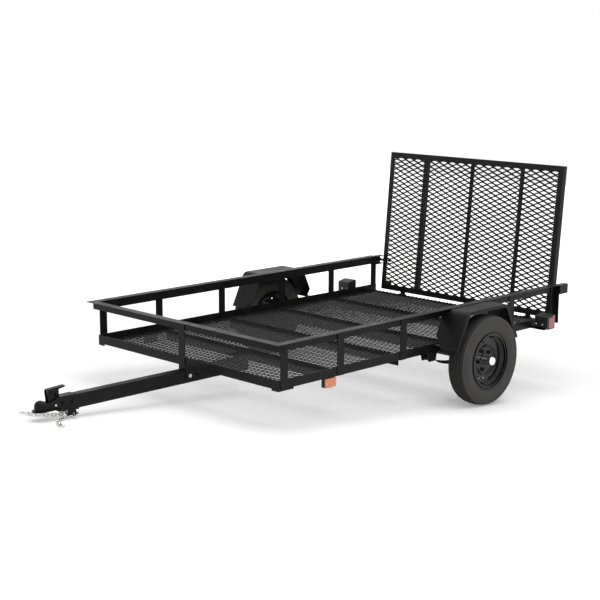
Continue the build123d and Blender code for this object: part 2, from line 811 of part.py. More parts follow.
for name, side in sides.items():
    with BuildPart() as fender:
        inner_plane = Plane.XZ.offset(-side * fender_inner)
        lip_plane = Plane.XZ.offset(-side * (fender_outer - sheet_thickness))
        cuts = [
            (inner_plane, 0, fender_bottom, fender_width, Mode.ADD),
            (inner_plane, sheet_thickness, fender_bottom - overrun,
             fender_width - sheet_thickness, Mode.SUBTRACT),
            (lip_plane, fender_lip, fender_bottom - overrun, 2 * sheet_thickness, Mode.SUBTRACT),
        ]
        for plane, inset, foot, depth, mode in cuts:
            with BuildSketch(plane) as outline:
                with BuildLine():
                    Polyline(*fender_outline(inset, foot), close=True)
                make_face()
                fillet(outline.vertices().group_by(Axis.Y)[-1], fender_bend - inset)
            extrude(amount=-side * depth, mode=mode)
        with BuildSketch(Plane.YZ):
            with BuildLine():
                Polyline(
                    (side * fender_inner, fender_bottom),
                    (side * (fender_inner + fender_cut_width), fender_bottom),
                    (side * fender_inner, fender_bottom + fender_cut_height),
                    close=True,
                )
            make_face()
        extrude(amount=fender_foot_half + overrun, both=True, mode=Mode.SUBTRACT)
    keep(fender, f"fender_{name}")

brace_z = fender_bottom + brace_rise
with BuildPart() as fender_braces:
    for side in sides.values():
        for end in (1, -1):
            at_sheet = fender_foot_half - (brace_z + plate_thickness - fender_bottom) * fender_slope
            tip = at_sheet - sheet_thickness * (1 + fender_slope) - running_fit
            slab(end * (tip - brace_length), end * tip, side * bed_half_width,
                 side * (fender_inner + fender_width * brace_share), brace_z, brace_z + plate_thickness)
keep(fender_braces, "fender_braces")

# Tail lamps behind the fenders: a lens at the rear that wraps round the outer side, under a hood
lamp_inner = bed_half_width + lamp_inset
lamp_outer = lamp_inner + lamp_width
lamp_bottom = frame_bottom + lamp_lift
lamp_top = lamp_bottom + lamp_height
lens_rear = -lamp_setback
lens_front = lens_rear + lens_depth
housing_front = lens_front + lamp_depth
wrap_front = lens_front + lamp_depth * lens_wrap_share
with BuildPart() as lamp_brackets:
    for side in sides.values():
        slab(lens_front, housing_front, side * bed_half_width, side * (lamp_outer - lamp_width / 4),
             lamp_bottom - plate_thickness, lamp_bottom)
keep(lamp_brackets, "lamp_brackets")


def tail_lenses(mode=Mode.ADD):
    """Both tail lamp lenses, in the part that is being built."""
    for side in sides.values():
        slab(lens_rear, lens_front, side * (lamp_inner + lens_skin), side * lamp_outer,
             lamp_bottom, lamp_top - lens_skin, mode=mode)
        slab(lens_front, wrap_front, side * (lamp_outer - lens_skin), side * lamp_outer,
             lamp_bottom + lens_skin, lamp_bottom + lamp_front_height - lens_skin, mode=mode)


with BuildPart() as tail_lamp_housings:
    for side in sides.values():
        with BuildSketch(Plane.XZ.offset(-side * lamp_inner)):
            with BuildLine():
                Polyline(
                    (lens_rear, lamp_bottom),
                    (lens_rear, lamp_top),
                    (lens_front, lamp_top),
                    (housing_front, lamp_bottom + lamp_front_height),
                    (housing_front, lamp_bottom + lamp_chamfer),
                    (housing_front - lamp_chamfer, lamp_bottom),
                    close=True,
                )
            make_face()
        extrude(amount=-side * lamp_width)
    tail_lenses(mode=Mode.SUBTRACT)
keep(tail_lamp_housings, "tail_lamp_housings")

with BuildPart() as tail_lamp_lenses:
    tail_lenses()
keep(tail_lamp_lenses, "tail_lamp_lenses")

# Amber markers hang under the side rails
marker_front = bed_front - marker_inset
marker_rear = marker_front - marker_length
hanger_outer = bed_half_width - marker_depth
marker_top = frame_bottom - running_gap / 2
with BuildPart() as marker_brackets:
    for side in sides.values():
        slab(marker_rear, marker_front, side * (hanger_outer - plate_thickness), side * hanger_outer,
             marker_top - marker_height, frame_bottom)
keep(marker_brackets, "marker_brackets")

with BuildPart() as marker_housings:
    for side in sides.values():
        slab(marker_rear, marker_front, side * hanger_outer, side * bed_half_width,
             marker_top - marker_height, marker_top)
keep(marker_housings, "marker_housings")

with BuildPart() as marker_lenses:
    for side in sides.values():
        slab(marker_rear, marker_front, side * bed_half_width, side * (bed_half_width + marker_lens_depth),
             marker_top - marker_height, marker_top)
keep(marker_lenses, "marker_lenses")

# Ramp gate: drawn upright on its hinge line, then leaned back on its stops and parked
gate_half_width = bed_half_width - gate_inset
gate_foot = hinge_z + gate_lift
gate_top = gate_foot + gate_height
gate_face = hinge_x + gate_setback
gate_back = gate_face - gate_leg
gate_across = gate_half_width - gate_leg
gate_inner = gate_half_width - wall
latch_height = rail_top - latch_drop
pin_x = (gate_face + gate_back) / 2
with BuildPart() as gate_sides:
    for side in sides.values():
        edge = side * gate_half_width
        slab(gate_face - wall, gate_face, edge, edge - side * gate_leg, gate_foot, gate_top)
        slab(gate_back, gate_face, edge, edge - side * wall, gate_foot, gate_top)
        rod(pin_x, edge, latch_height, latch_pin_radius + running_fit, gate_leg, mode=Mode.SUBTRACT)
keep(gate_sides, "gate_sides", on_gate)

with BuildPart() as gate_ends:
    slab(gate_face - wall, gate_face, -gate_across, gate_across, gate_top - gate_leg, gate_top)
    slab(gate_back, gate_face - wall, -gate_inner, gate_inner, gate_top - wall, gate_top)
    slab(gate_face - wall, gate_face, -gate_across, gate_across, gate_foot, gate_foot + gate_leg)
    slab(gate_back, gate_face - wall, -gate_inner, gate_inner, gate_foot, gate_foot + wall)
keep(gate_ends, "gate_ends", on_gate)

mesh_back = gate_face - wall - mesh_thickness
with BuildPart() as gate_mesh:
    mesh_side = gate_inner - mesh_margin
    sheet = expanded_sheet(-mesh_side, mesh_side, gate_foot + wall + mesh_margin,
                           gate_top - wall - mesh_margin, mesh_long_pitch, mesh_short_pitch)
    extrude(Plane.YZ.offset(mesh_back).location * sheet, amount=mesh_thickness)
keep(gate_mesh, "gate_mesh", on_gate)

with BuildPart() as gate_bars:
    low = gate_foot + wall
    high = gate_top - wall
    for share in gate_bar_shares:
        place = share * gate_half_width
        leg_side = 1 if share < 0 else -1
        edge = place + leg_side * gate_bar_leg / 2
        slab(mesh_back - wall, mesh_back, edge, edge - leg_side * gate_bar_leg, low, high)
        slab(mesh_back - gate_bar_leg, mesh_back - wall, edge, edge - leg_side * wall, low, high)
keep(gate_bars, "gate_bars", on_gate)

hinge_places = [-hinge_share * gate_half_width, hinge_share * gate_half_width]
with BuildPart() as gate_knuckles:
    for place in hinge_places:
        rod(hinge_x, place, hinge_z, knuckle_radius, knuckle_length)
        slab(hinge_x - plate_thickness / 2, hinge_x + plate_thickness / 2, place - knuckle_length / 2,
             place + knuckle_length / 2, hinge_z, gate_foot)
        rod(hinge_x, place, hinge_z, hinge_pin_radius + running_fit, 2 * knuckle_length,
            mode=Mode.SUBTRACT)
keep(gate_knuckles, "gate_knuckles", on_gate)

ear_radius = knuckle_radius + wall / 2
ear_inner = knuckle_length / 2 + 2 * running_fit
ear_outer = ear_inner + hinge_ear
with BuildPart() as hinge_brackets:
    for place in hinge_places:
        for end in (1, -1):
            with BuildSketch(Plane.XZ.offset(-place - end * (ear_inner + hinge_ear / 2))):
                with Locations((hinge_x, hinge_z)):
                    Circle(ear_radius)
                with Locations(((hinge_x + bed_rear) / 2, hinge_z)):
                    Rectangle(hinge_setback, 2 * ear_radius)
            extrude(amount=hinge_ear / 2, both=True)
        rod(hinge_x, place, hinge_z, hinge_pin_radius, 2 * (ear_outer + hinge_ear))
keep(hinge_brackets, "hinge_brackets")

# Latch pins stand on the gate's sides and rest in box keepers that open to the rear
keeper_outer = post_outer + keeper_width
barrel_out = keeper_outer - post_thickness - running_gap
with BuildPart() as latch_pins:
    for side in sides.values():
        pin_start = gate_half_width - latch_pin_inset
        barrel_start = post_outer + running_gap
        rod(pin_x, side * (pin_start + barrel_out) / 2, latch_height, latch_pin_radius,
            barrel_out - pin_start)
        rod(pin_x, side * (barrel_start + barrel_out) / 2, latch_height, latch_barrel_radius,
            barrel_out - barrel_start)
        slab(pin_x, mesh_back, side * pin_start, side * gate_inner,
             latch_height - latch_pin_radius / 2, latch_height + latch_pin_radius / 2)
keep(latch_pins, "latch_pins", on_gate)

with BuildPart() as latch_keepers:
    keeper_rear = bed_rear - keeper_length
    keeper_bottom = post_top - keeper_height
    keeper_front = bed_rear - post_thickness
    for side in sides.values():
        outer = side * keeper_outer
        slab(keeper_rear, bed_rear, side * post_outer, outer, post_top - post_thickness, post_top)
        slab(keeper_rear, bed_rear, side * post_outer, outer, keeper_bottom, keeper_bottom + post_thickness)
        slab(keeper_front, bed_rear, side * post_outer, outer, keeper_bottom, post_top)
        slab(keeper_rear, keeper_front, outer, outer - side * post_thickness,
             keeper_bottom + post_thickness, post_top - post_thickness)
keep(latch_keepers, "latch_keepers")

with BuildPart() as reflectors:
    for side in sides.values():
        slab(gate_back, gate_back + reflector_depth, side * gate_inner,
             side * (gate_inner - reflector_length), gate_foot + wall,
             gate_foot + wall + reflector_height)
keep(reflectors, "reflectors", on_gate)

# The origin is the bottom centre of the whole parked trailer's box
boxes = [piece.bounding_box() for piece in finished]
rear = min(box.min.X for box in boxes)
front = max(box.max.X for box in boxes)
origin = Location((-(rear + front) / 2, 0, 0))
for piece in finished:
    moved = piece.moved(origin)
    moved.label = piece.label
    export_step(moved, f"parts/{piece.label}.step")
print("pitch", round(pitch, 3), "length", round(front - rear, 1))
print("lowest", round(min(box.min.Z for box in boxes), 3))
print("highest", round(max(box.max.Z for box in boxes), 1))
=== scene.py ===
# %% [markdown]
# A low utility trailer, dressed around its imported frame.
# The rigid pieces come from the frame at their true size. This file gives them their finishes,
# knits the expanded mesh of the floor and the gate, cuts the tyres' grooves, adds the small parts
# that a maker fits last, and sets the light, the floor and the camera.

# %% Load the frame
import json
import math

import bmesh
import bpy
from mathutils import Matrix, Vector


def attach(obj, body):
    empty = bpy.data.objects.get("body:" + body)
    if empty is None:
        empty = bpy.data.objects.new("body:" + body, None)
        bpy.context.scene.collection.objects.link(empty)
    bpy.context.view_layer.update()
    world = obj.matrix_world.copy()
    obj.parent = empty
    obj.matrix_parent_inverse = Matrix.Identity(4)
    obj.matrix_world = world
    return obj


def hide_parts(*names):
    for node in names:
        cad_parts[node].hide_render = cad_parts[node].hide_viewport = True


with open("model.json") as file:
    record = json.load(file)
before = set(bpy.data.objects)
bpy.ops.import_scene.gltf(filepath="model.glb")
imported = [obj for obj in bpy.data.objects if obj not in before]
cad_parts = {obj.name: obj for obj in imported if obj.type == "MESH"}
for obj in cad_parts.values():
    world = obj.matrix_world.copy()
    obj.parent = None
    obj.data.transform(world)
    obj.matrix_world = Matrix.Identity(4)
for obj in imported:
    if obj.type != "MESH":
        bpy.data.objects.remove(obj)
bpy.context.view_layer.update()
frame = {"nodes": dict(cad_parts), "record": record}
nodes = frame["nodes"]
record = frame["record"]

# %% [markdown]
# The trailer is parked nose down, so everything on it is turned about the axle by one small angle.
# The ball socket points straight down in the trailer's own level frame, so its axis gives that
# angle. With it, a point that is known on the level trailer can be carried to where it is now.

# %% The parked attitude
MM = 0.001
AXIS_X, AXIS_Y, AXIS_Z = Vector((1, 0, 0)), Vector((0, 1, 0)), Vector((0, 0, 1))
joint_place = {joint["name"]: Vector(joint["pos_m"]) for joint in record["behaviour"]["joints"]}
mount_axis = {mount["name"]: mount["axis"] for mount in record["mounts"]}
wheel_centre = joint_place["wheel_left_spin"]
axle_centre = Vector((wheel_centre.x, 0, wheel_centre.z))
socket_axis = mount_axis["ball_socket"]
pitch = math.atan2(-socket_axis[0], -socket_axis[2])
pitched = Matrix.Rotation(pitch, 4, "Y")
tyre_radius = wheel_centre.z
parked = Matrix.Translation(axle_centre) @ pitched @ Matrix.Translation((0, 0, -tyre_radius))
sides = {"left": 1, "right": -1}


def box_in(place, *names, side=0):
    """The lowest and highest corner of some nodes in a place's own frame, on one side or both."""
    back = place.inverted()
    points = [back @ vertex.co for name in names for vertex in nodes[name].data.vertices
              if side * vertex.co.y >= 0]
    low = Vector([min(point[axis] for point in points) for axis in range(3)])
    high = Vector([max(point[axis] for point in points) for axis in range(3)])
    return low, high


print("parked nose down by", round(math.degrees(pitch), 2), "degrees")

# %% [markdown]
# The camera was fitted to the photograph on the level trailer. It is carried by the same turn,
# so the trailer stands in the picture as it does in the photograph.

# %% Camera
camera_level = Vector((6.2514, 5.6322, 2.1266))
azimuth = math.radians(134.928)
elevation = math.radians(11.0156)
roll = math.radians(0.270)
sensor_mm = 36
photo_pixels = 600
focal_pixels = 1362.42

ahead = Vector((-math.sin(azimuth) * math.cos(elevation), math.cos(azimuth) * math.cos(elevation),
                -math.sin(elevation)))
level_right = ahead.cross(AXIS_Z).normalized()
level_up = level_right.cross(ahead)
right = math.cos(roll) * level_right + math.sin(roll) * level_up
up = math.cos(roll) * level_up - math.sin(roll) * level_right
view = Matrix((right, up, -ahead)).transposed().to_4x4()
camera_data = bpy.data.cameras.new("camera")
camera_data.sensor_width = sensor_mm
camera_data.lens = sensor_mm * focal_pixels / photo_pixels
camera = bpy.data.objects.new("camera", camera_data)
bpy.context.collection.objects.link(camera)
camera.matrix_world = parked @ Matrix.Translation(camera_level) @ view
bpy.context.scene.camera = camera
print("camera at", [round(value, 3) for value in camera.matrix_world.translation])

# %% [markdown]
# Two effects are shared by the materials. "surface grain" gives a soft mottle and a fine bump.
# "pressed ribs" gives the even ridges that are moulded into a lamp's lens.
# Both take their pattern from object coordinates, so it stays on a piece when that moves.

# %% Shared effects
def effect_group(name, inputs, outputs):
    """A new shader group with named float inputs, and its input and output nodes."""
    group = bpy.data.node_groups.new(name, "ShaderNodeTree")
    for label in inputs:
        group.interface.new_socket(label, in_out="INPUT", socket_type="NodeSocketFloat")
    for label, kind in outputs.items():
        group.interface.new_socket(label, in_out="OUTPUT", socket_type=kind)
    return group, group.nodes.new("NodeGroupInput"), group.nodes.new("NodeGroupOutput")


def add_bump(group, given, height, distance):
    """A bump node in a group, driven by a height and by the group's Bump input."""
    bump = group.nodes.new("ShaderNodeBump")
    bump.inputs["Distance"].default_value = distance
    group.links.new(given.outputs["Bump"], bump.inputs["Strength"])
    group.links.new(height, bump.inputs["Height"])
    return bump.outputs["Normal"]


noise_detail = 5
noise_roughness = 0.6
mottle_low, mottle_high = 0.32, 0.68
bump_distance = MM
pattern_outputs = {"Mask": "NodeSocketFloat", "Normal": "NodeSocketVector"}
grain_inputs = ("Mottle Scale", "Grain Scale", "Bump")
surface_grain, given, result = effect_group("surface grain", grain_inputs, pattern_outputs)
place = surface_grain.nodes.new("ShaderNodeTexCoord").outputs["Object"]
noises = {}
for label in ("Mottle Scale", "Grain Scale"):
    noise = surface_grain.nodes.new("ShaderNodeTexNoise")
    noise.inputs["Detail"].default_value = noise_detail
    noise.inputs["Roughness"].default_value = noise_roughness
    surface_grain.links.new(place, noise.inputs["Vector"])
    surface_grain.links.new(given.outputs[label], noise.inputs["Scale"])
    noises[label] = noise.outputs["Fac"]
contrast = surface_grain.nodes.new("ShaderNodeMapRange")
contrast.inputs["From Min"].default_value = mottle_low
contrast.inputs["From Max"].default_value = mottle_high
surface_grain.links.new(noises["Mottle Scale"], contrast.inputs["Value"])
surface_grain.links.new(contrast.outputs["Result"], result.inputs["Mask"])
grain_normal = add_bump(surface_grain, given, noises["Grain Scale"], bump_distance)
surface_grain.links.new(grain_normal, result.inputs["Normal"])

pressed_ribs, given, result = effect_group("pressed ribs", ("Rib Scale", "Bump"), pattern_outputs)
place = pressed_ribs.nodes.new("ShaderNodeTexCoord").outputs["Object"]
wave = pressed_ribs.nodes.new("ShaderNodeTexWave")
wave.bands_direction = "DIAGONAL"
pressed_ribs.links.new(place, wave.inputs["Vector"])
pressed_ribs.links.new(given.outputs["Rib Scale"], wave.inputs["Scale"])
pressed_ribs.links.new(wave.outputs["Fac"], result.inputs["Mask"])
rib_normal = add_bump(pressed_ribs, given, wave.outputs["Fac"], bump_distance)
pressed_ribs.links.new(rib_normal, result.inputs["Normal"])
print("shared effects:", surface_grain.name, "and", pressed_ribs.name)

# %% [markdown]
# A material starts as one shader with its plain values on its own sockets. Its pattern then moves
# the colour between two near shades, moves the roughness a little and bumps the surface.
# The black finishes reflect little, as thick enamel under soft light does.

# %% Materials
def new_material(name, shades, roughness, effect, settings, **sockets):
    """A material whose colour and roughness move between two values by a shared effect."""
    material = bpy.data.materials.new(name)
    material.use_nodes = True
    tree = material.node_tree
    shader = tree.nodes["Principled BSDF"]
    for socket, value in sockets.items():
        shader.inputs[socket.replace("_", " ")].default_value = value
    pattern = tree.nodes.new("ShaderNodeGroup")
    pattern.node_tree = effect
    for socket, value in settings.items():
        pattern.inputs[socket].default_value = value
    shade = tree.nodes.new("ShaderNodeMix")
    shade.data_type = "RGBA"
    colours = [socket for socket in shade.inputs if socket.type == "RGBA"]
    for socket, colour in zip(colours, shades):
        socket.default_value = (*colour, 1)
    shade_out = [socket for socket in shade.outputs if socket.type == "RGBA"][0]
    gloss = tree.nodes.new("ShaderNodeMapRange")
    gloss.inputs["To Min"].default_value, gloss.inputs["To Max"].default_value = roughness
    tree.links.new(pattern.outputs["Mask"], shade.inputs["Factor"])
    tree.links.new(pattern.outputs["Mask"], gloss.inputs["Value"])
    tree.links.new(shade_out, shader.inputs["Base Color"])
    tree.links.new(gloss.outputs["Result"], shader.inputs["Roughness"])
    tree.links.new(pattern.outputs["Normal"], shader.inputs["Normal"])
    return material


def grain(mottle_scale, grain_scale, bump):
    """Settings of the surface grain: two scales per metre and the strength of the bump."""
    return {"Mottle Scale": mottle_scale, "Grain Scale": grain_scale, "Bump": bump}


def ribs(rib_scale, bump):
    """Settings of the pressed ribs: their scale per metre and the strength of the bump."""
    return {"Rib Scale": rib_scale, "Bump": bump}


black_enamel = new_material("black_enamel", ((0.0055, 0.0056, 0.0058), (0.0095, 0.0095, 0.0094)),
                            (0.30, 0.46), surface_grain, grain(9, 260, 0.10),
                            Specular_IOR_Level=0.14)
mesh_enamel = new_material("mesh_enamel", ((0.004, 0.004, 0.004), (0.010, 0.010, 0.0095)),
                           (0.24, 0.42), surface_grain, grain(22, 400, 0.15),
                           Specular_IOR_Level=0.25)
spring_steel = new_material("spring_steel", ((0.006, 0.006, 0.006), (0.015, 0.014, 0.013)),
                            (0.45, 0.65), surface_grain, grain(30, 300, 0.25),
                            Specular_IOR_Level=0.25)
sidewall_rubber = new_material("sidewall_rubber", ((0.050, 0.049, 0.047), (0.070, 0.068, 0.065)),
                               (0.66, 0.82), surface_grain, grain(14, 900, 0.30),
                               Specular_IOR_Level=0.3)
# The tread is the sidewalls' rubber painted about three times darker: painted shade on the tread.
tread_rubber_painted_shade = new_material("tread_rubber_painted_shade", ((0.016, 0.016, 0.016), (0.026, 0.026, 0.025)),
                            (0.60, 0.80), surface_grain, grain(30, 700, 0.40),
                            Specular_IOR_Level=0.25)
wheel_enamel = new_material("wheel_enamel", ((0.0025, 0.0025, 0.0026), (0.0050, 0.0050, 0.0050)),
                            (0.16, 0.26), surface_grain, grain(18, 300, 0.08),
                            Specular_IOR_Level=0.3)
bright_zinc = new_material("bright_zinc", ((0.52, 0.52, 0.51), (0.80, 0.80, 0.78)),
                           (0.20, 0.36), surface_grain, grain(90, 700, 0.12), Metallic=1.0)
cap_chrome = new_material("cap_chrome", ((0.86, 0.86, 0.86), (0.93, 0.93, 0.93)),
                          (0.10, 0.18), surface_grain, grain(40, 300, 0.03), Metallic=1.0)
amber_lens = new_material("amber_lens", ((0.84, 0.22, 0.07), (0.96, 0.33, 0.13)),
                          (0.12, 0.24), pressed_ribs, ribs(150, 0.35), Coat_Weight=0.4)
red_lens = new_material("red_lens", ((0.30, 0.035, 0.045), (0.48, 0.06, 0.075)),
                        (0.12, 0.24), pressed_ribs, ribs(130, 0.35), Coat_Weight=0.4)
dark_reflector = new_material("dark_reflector", ((0.07, 0.006, 0.010), (0.13, 0.010, 0.016)),
                              (0.12, 0.24), pressed_ribs, ribs(90, 0.4))
lamp_plastic = new_material("lamp_plastic", ((0.0055, 0.0055, 0.0055), (0.0095, 0.0095, 0.0095)),
                            (0.36, 0.52), surface_grain, grain(40, 1400, 0.35),
                            Specular_IOR_Level=0.3)


def finish_nodes(material, *names):
    """Give carried-over nodes a material."""
    for name in names:
        slots = nodes[name].data.materials
        slots.clear()
        slots.append(material)


finish_nodes(black_enamel, *nodes)
finish_nodes(spring_steel, "leaf_springs", "axle_beam", "axle_clamps", "spring_hangers")
finish_nodes(wheel_enamel, "wheel_left", "wheel_right", "hub_left", "hub_right")
finish_nodes(cap_chrome, "hub_cap_left", "hub_cap_right")
finish_nodes(bright_zinc, "tongue_bolts", "chain_left", "chain_right")
finish_nodes(amber_lens, "marker_lenses")
finish_nodes(red_lens, "tail_lamp_lenses")
finish_nodes(dark_reflector, "reflectors")
finish_nodes(lamp_plastic, "tail_lamp_housings", "marker_housings")
print(len(bpy.data.materials), "materials")

# %% [markdown]
# Expanded mesh is knitted by Geometry Nodes. One strand runs level for a short bond, slants, runs
# level again and slants back within each long pitch, so it has four points in each. Every other row
# is turned over, so that the bonds of two neighbours lap, and the slants open into diamonds.

# %% Expanded mesh builder
def math_node(tree, operation, *values):
    """The output of a math node, with each value a number or another node's output."""
    node = tree.nodes.new("ShaderNodeMath")
    node.operation = operation
    for socket, value in zip(node.inputs, values):
        if isinstance(value, (int, float)):
            socket.default_value = value
        else:
            tree.links.new(value, socket)
    return node.outputs["Value"]


def vector_node(tree, **parts):
    """The output of a vector made from its named parts."""
    node = tree.nodes.new("ShaderNodeCombineXYZ")
    for name, value in parts.items():
        tree.links.new(value, node.inputs[name])
    return node.outputs["Vector"]


def point_row(tree, count, offset):
    """A row of loose points, one offset apart."""
    node = tree.nodes.new("GeometryNodeMeshLine")
    tree.links.new(count, node.inputs["Count"])
    tree.links.new(offset, node.inputs["Offset"])
    return node.outputs["Mesh"]


def through(tree, kind, geometry, port, **values):
    """Pass a geometry through one more node, with its other inputs linked by name."""
    node = tree.nodes.new(kind)
    tree.links.new(geometry, node.inputs[port])
    for name, value in values.items():
        tree.links.new(value, node.inputs[name.replace("_", " ")])
    return node


points_in_pitch = 4
bond_lap_share = 0.25
mesh_long_pitch = 76 * MM
mesh_short_pitch = 34 * MM
expanded_mesh = bpy.data.node_groups.new("expanded mesh", "GeometryNodeTree")
for label, kind in (("Length", "Float"), ("Rows", "Int"), ("Long Pitch", "Float"),
                    ("Short Pitch", "Float"), ("Strand Width", "Float"),
                    ("Strand Thickness", "Float"), ("Bond Length", "Float"), ("Tilt", "Float"),
                    ("Material", "Material")):
    expanded_mesh.interface.new_socket(label, in_out="INPUT", socket_type="NodeSocket" + kind)
expanded_mesh.interface.new_socket("Geometry", in_out="OUTPUT", socket_type="NodeSocketGeometry")
given = expanded_mesh.nodes.new("NodeGroupInput").outputs
index = expanded_mesh.nodes.new("GeometryNodeInputIndex").outputs["Index"]
quarter = math_node(expanded_mesh, "DIVIDE", given["Long Pitch"], points_in_pitch)
quarters = math_node(expanded_mesh, "DIVIDE", given["Length"], quarter)
steps = math_node(expanded_mesh, "FLOOR", quarters)
strand = point_row(expanded_mesh, math_node(expanded_mesh, "ADD", steps, 1),
                   vector_node(expanded_mesh, X=quarter))
half_open = math_node(expanded_mesh, "SUBTRACT",
                      math_node(expanded_mesh, "DIVIDE", given["Short Pitch"], 4),
                      math_node(expanded_mesh, "MULTIPLY", given["Strand Width"], bond_lap_share))
in_pitch = math_node(expanded_mesh, "MODULO", index, points_in_pitch)
upper = math_node(expanded_mesh, "LESS_THAN", in_pitch, points_in_pitch // 2)
swing = math_node(expanded_mesh, "MULTIPLY_ADD", upper, 2, -1)
shortened = math_node(expanded_mesh, "DIVIDE",
                      math_node(expanded_mesh, "SUBTRACT", quarter, given["Bond Length"]), 2)
odd = math_node(expanded_mesh, "MODULO", index, 2)
turned_in = math_node(expanded_mesh, "MULTIPLY_ADD", odd, -2, 1)
zigzag = vector_node(expanded_mesh, X=math_node(expanded_mesh, "MULTIPLY", turned_in, shortened),
                     Y=math_node(expanded_mesh, "MULTIPLY", swing, half_open))
strand = through(expanded_mesh, "GeometryNodeSetPosition", strand, "Geometry", Offset=zigzag)
strand = through(expanded_mesh, "GeometryNodeMeshToCurve", strand.outputs["Geometry"], "Mesh")
strand = through(expanded_mesh, "GeometryNodeSetCurveNormal", strand.outputs["Curve"], "Curve")
strand.mode = "Z_UP"
strand = through(expanded_mesh, "GeometryNodeSetCurveTilt", strand.outputs["Curve"], "Curve",
                 Tilt=given["Tilt"])
bar = expanded_mesh.nodes.new("GeometryNodeCurvePrimitiveQuadrilateral")
expanded_mesh.links.new(given["Strand Width"], bar.inputs["Width"])
expanded_mesh.links.new(given["Strand Thickness"], bar.inputs["Height"])
strand = through(expanded_mesh, "GeometryNodeCurveToMesh", strand.outputs["Curve"], "Curve",
                 Profile_Curve=bar.outputs["Curve"])
strand.inputs["Fill Caps"].default_value = True
row_step = vector_node(expanded_mesh, Y=math_node(expanded_mesh, "DIVIDE", given["Short Pitch"], 2))
row_places = point_row(expanded_mesh, given["Rows"], row_step)
turned_over = math_node(expanded_mesh, "MULTIPLY", odd, math.pi)
rows = through(expanded_mesh, "GeometryNodeInstanceOnPoints", row_places, "Points",
               Instance=strand.outputs["Mesh"], Rotation=vector_node(expanded_mesh, X=turned_over))
rows = through(expanded_mesh, "GeometryNodeRealizeInstances", rows.outputs["Instances"], "Geometry")
rows = through(expanded_mesh, "GeometryNodeSetMaterial", rows.outputs["Geometry"], "Geometry",
               Material=given["Material"])
result = expanded_mesh.nodes.new("NodeGroupOutput")
expanded_mesh.links.new(rows.outputs["Geometry"], result.inputs["Geometry"])


def built_by_nodes(name, tree, values):
    """A new piece whose mesh is what a Geometry Nodes tree makes from named values."""
    piece = bpy.data.objects.new(name, bpy.data.meshes.new(name))
    bpy.context.collection.objects.link(piece)
    modifier = piece.modifiers.new("build", "NODES")
    modifier.node_group = tree
    for item in tree.interface.items_tree:
        if item.name in values:
            modifier[item.identifier] = values[item.name]
    evaluated = piece.evaluated_get(bpy.context.evaluated_depsgraph_get())
    finished = bpy.data.meshes.new_from_object(evaluated)
    piece.modifiers.remove(modifier)
    piece.data = finished
    return piece


def knit_mesh(name, node, body, place, strand_width, strand_thickness, bond_length, tilt_degrees):
    """Expanded mesh in place of a node: its strands along the place's X, its rows along Y."""
    low, high = box_in(place, node)
    row_count = int(2 * (high.y - low.y) / mesh_short_pitch)
    tilt = math.radians(tilt_degrees)
    values = {"Length": high.x - low.x, "Rows": row_count, "Long Pitch": mesh_long_pitch,
              "Short Pitch": mesh_short_pitch, "Strand Width": strand_width,
              "Strand Thickness": strand_thickness, "Bond Length": bond_length, "Tilt": tilt,
              "Material": mesh_enamel}
    piece = built_by_nodes(name, expanded_mesh, values)
    spare = (high.x - low.x) % (mesh_long_pitch / points_in_pitch)
    half_height = (strand_width * abs(math.sin(tilt)) + strand_thickness * math.cos(tilt)) / 2
    rows_across = (row_count - 1) * mesh_short_pitch / 2
    first = Vector((low.x + spare / 2, (low.y + high.y - rows_across) / 2, low.z + half_height))
    piece.data.transform(place @ Matrix.Translation(first))
    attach(piece, body)
    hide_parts(node)
    print(name, len(piece.data.polygons), "faces in", row_count, "rows")


# %% [markdown]
# The floor's strands stand up steeply, so that the sheet hides the ground at a low angle.
# The gate's strands are wider and lie flatter, turned the other way, and let the light through.

# %% Floor and gate mesh
knit_mesh("floor_expanded_mesh", "floor_mesh", "chassis", parked,
          strand_width=8.5 * MM, strand_thickness=2 * MM, bond_length=8 * MM, tilt_degrees=46)
gate_normal = max(nodes["gate_mesh"].data.polygons, key=lambda face: face.area).normal.copy()
if gate_normal.x < 0:
    gate_normal.negate()
gate_place = Matrix((AXIS_Y, gate_normal.cross(AXIS_Y), gate_normal)).transposed().to_4x4()
knit_mesh("gate_expanded_mesh", "gate_mesh", "gate", gate_place,
          strand_width=11 * MM, strand_thickness=2.5 * MM, bond_length=6 * MM, tilt_degrees=-30)

# %% [markdown]
# Everything round is turned from a profile: points of (distance along the axis, radius).

# %% Turning
def turn_profile(shape, profile, place, axis, segments, closed=False):
    """Turn a profile about an axis through a place, and add it to a shape."""
    axis = axis.normalized()
    first = axis.orthogonal().normalized()
    second = axis.cross(first)
    rings = []
    for along, radius in profile:
        centre = place + axis * along
        angles = [2 * math.pi * step / segments for step in range(segments if radius else 1)]
        outward = [math.cos(angle) * first + math.sin(angle) * second for angle in angles]
        rings.append([shape.verts.new(centre + radius * direction) for direction in outward])
    pairs = list(zip(rings, rings[1:] + rings[:1])) if closed else list(zip(rings, rings[1:]))
    for one, two in pairs:
        for step in range(segments):
            after = step + 1
            corners = [one[step % len(one)], one[after % len(one)], two[after % len(two)],
                       two[step % len(two)]]
            shape.faces.new(list(dict.fromkeys(corners)))


def finish_piece(name, shape, material, body, crease_degrees=35):
    """Make a shape into a piece that rides on a body."""
    bmesh.ops.recalc_face_normals(shape, faces=shape.faces)
    mesh = bpy.data.meshes.new(name)
    shape.to_mesh(mesh)
    shape.free()
    mesh.shade_smooth()
    mesh.set_sharp_from_angle(angle=math.radians(crease_degrees))
    mesh.materials.append(material)
    piece = bpy.data.objects.new(name, mesh)
    bpy.context.collection.objects.link(piece)
    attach(piece, body)
    print(name, len(mesh.polygons), "faces")
    return piece
